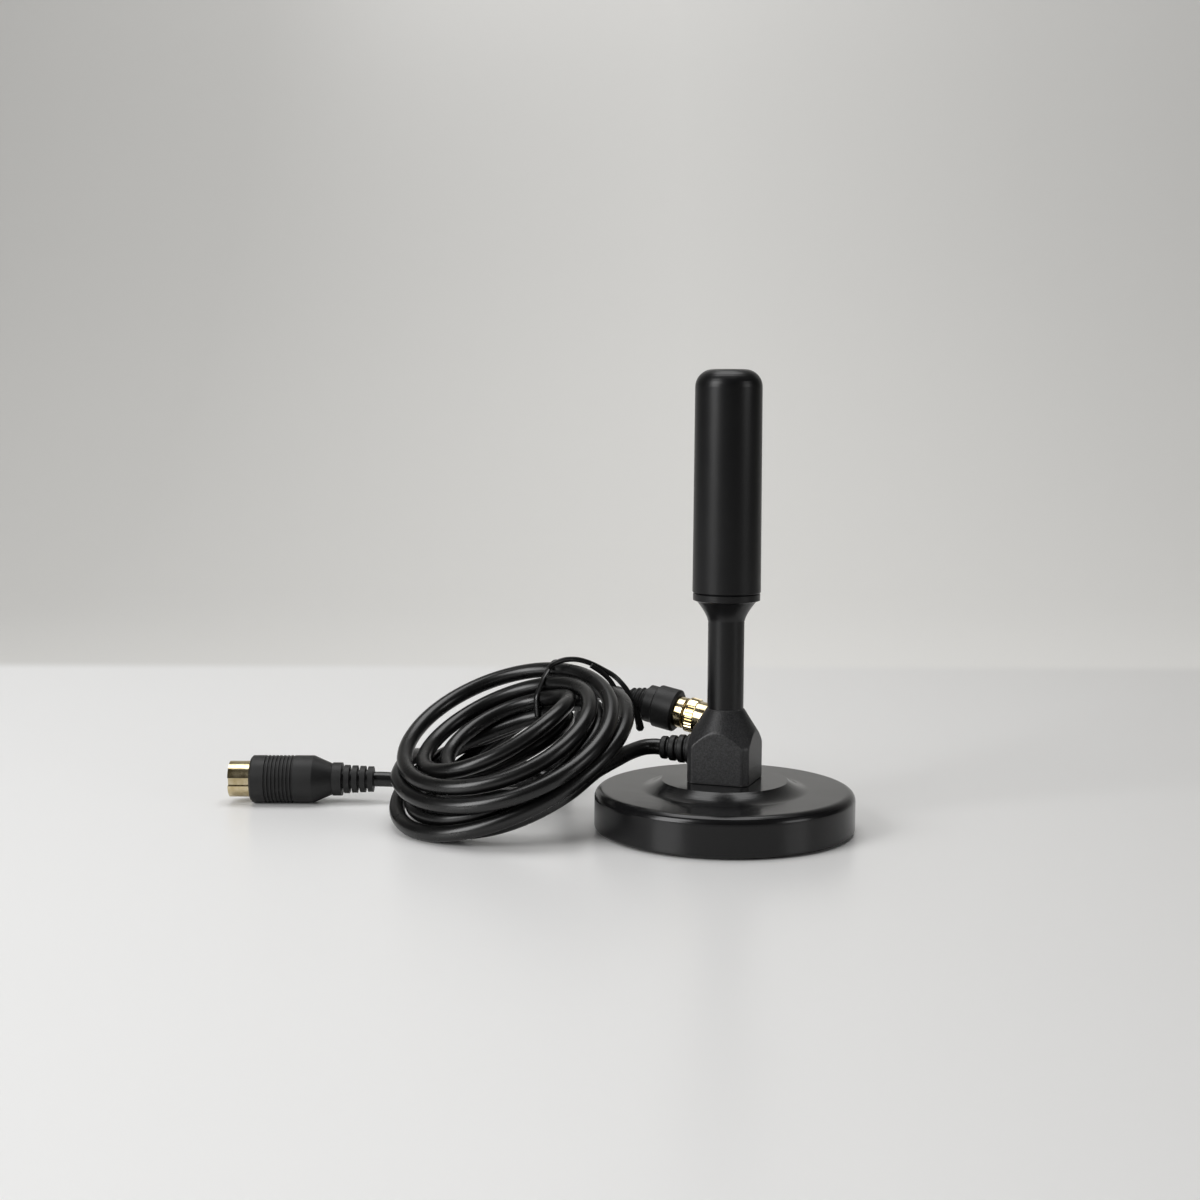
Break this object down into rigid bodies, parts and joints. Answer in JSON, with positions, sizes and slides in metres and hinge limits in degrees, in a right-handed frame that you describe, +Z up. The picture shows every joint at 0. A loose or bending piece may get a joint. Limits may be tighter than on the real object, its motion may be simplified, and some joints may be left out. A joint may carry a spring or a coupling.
{
  "type": "omnidirectional antenna",
  "caption": "Omnidirectional antenna: rounded cylindrical head on a slim stem and a squared boss over a round magnetic base, with a coiled lead that splits to a round plug and an RF plug.",
  "frame": {"origin": "middle of the round base's underside", "axes": "+Z up along the stem and head; -X is the side of the boss that the lead leaves from; the boss's flats face +X, -X, +Y and -Y"},
  "size_m": [0.1651, 0.0781, 0.1141],
  "materials": {
    "base_shell": "injection-moulded ABS, satin gloss black",
    "steel": "zinc-plated steel",
    "ferrite": "sintered ferrite, dull dark grey",
    "pad_rubber": "cut foam rubber sheet, matt black",
    "boss_metal": "turned and milled aluminium, blasted and black anodised, fine grainy satin",
    "boot_rubber": "moulded soft PVC, matt black",
    "stem_black": "turned aluminium, smooth black anodised, satin",
    "head_plastic": "injection-moulded ABS, fine satin black",
    "board": "glass-fibre epoxy board with green solder mask",
    "copper": "etched copper foil",
    "foam": "die-cut polyethylene foam, white",
    "coax_white": "extruded white dielectric, satin",
    "brass": "gold-plated brass",
    "lead_pvc": "extruded PVC sheath, semi-gloss black",
    "tie_plastic": "extruded flat twist tie, semi-gloss black",
    "nickel": "nickel-plated brass, bright, slightly warm",
    "plug_insulator": "moulded black plastic"
  },
  "bodies": {
    "antenna": {"base_cover": "base_shell", "yoke_plate": "steel", "magnet_ring": "ferrite", "base_pad": "pad_rubber", "boss_screw": "steel", "boss_washer": "steel", "boss": "boss_metal", "boss_boot": "boot_rubber", "stem_tube": "stem_black", "flare_collar": "stem_black", "head_shell": "head_plastic", "element_board": "board", "radiator_foil": "copper", "ground_foil": "copper", "lower_spacer": "foam", "upper_spacer": "foam", "feed_coax": "coax_white", "feed_ferrule": "brass", "lead_front": "lead_pvc", "lead_coil": "lead_pvc", "lead_back": "lead_pvc", "lead_y_joint": "boot_rubber", "round_plug_tail": "lead_pvc", "rf_plug_tail": "lead_pvc", "coil_tie": "tie_plastic", "round_plug_shell": "nickel", "round_plug_insulator": "plug_insulator", "round_plug_pins": "brass", "round_plug_grip": "boot_rubber", "round_plug_boot": "boot_rubber", "rf_plug_sleeve": "nickel", "rf_plug_insulator": "coax_white", "rf_plug_pin": "brass", "rf_plug_grip": "boot_rubber", "rf_plug_boot": "boot_rubber"},
    "coupling_nut": {"coupling_nut": "nickel"}
  },
  "joints": [
    {"name": "coupling_nut_spin", "type": "hinge", "parent": "antenna", "child": "coupling_nut", "pos_m": [-0.0074, 0.0132, 0.0247], "axis": [-0.9794, 0.0943, 0.1788], "continuous": true}
  ]
}
